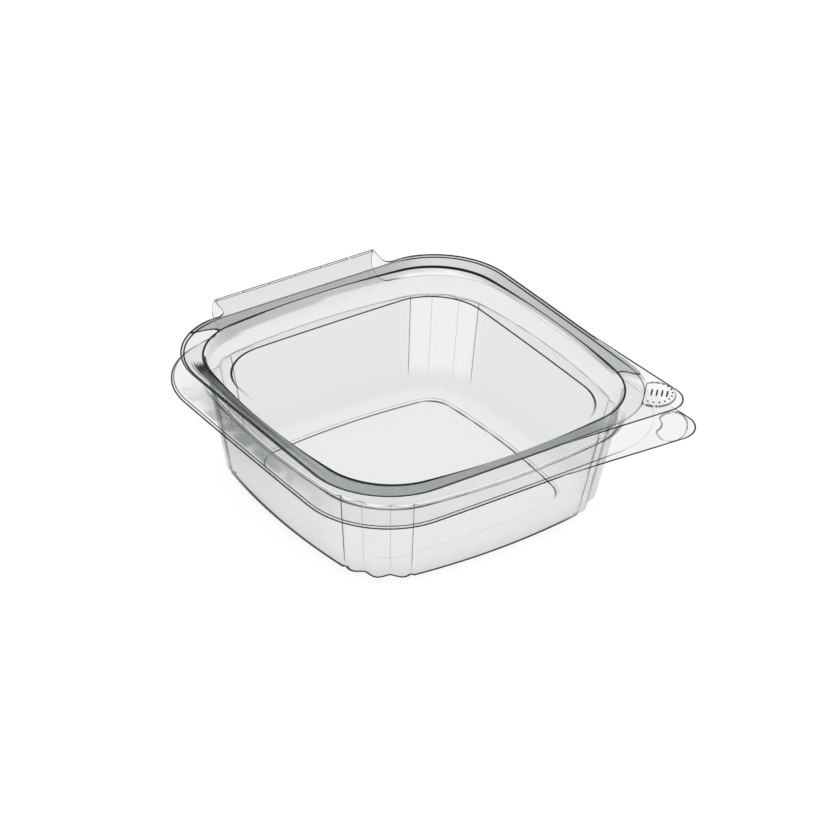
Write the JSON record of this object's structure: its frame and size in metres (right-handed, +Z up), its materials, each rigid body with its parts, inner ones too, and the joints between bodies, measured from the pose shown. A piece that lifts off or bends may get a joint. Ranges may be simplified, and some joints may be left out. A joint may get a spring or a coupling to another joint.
{
  "type": "hinged clear plastic clamshell pack",
  "caption": "Square clear food pack with fluted corners, a plug lid on a folded hinge and pull tabs at one corner.",
  "frame": {"origin": "middle of the face that the tray stands on", "axes": "+Z up, -Y the front, +Y the fold that the lid turns on, +X right; the pull tabs are at the +X -Y corner"},
  "size_m": [0.1351, 0.1408, 0.0441],
  "materials": {
    "clear_film": "clear thermoformed film, glossy"
  },
  "bodies": {
    "base": {"base_tray": "clear_film"},
    "lid": {"lid": "clear_film"}
  },
  "joints": [
    {"name": "lid_fold", "type": "hinge", "parent": "base", "child": "lid", "pos_m": [0, 0.0702, 0.044], "axis": [-1, 0, 0], "range_deg": [0, 180]}
  ]
}
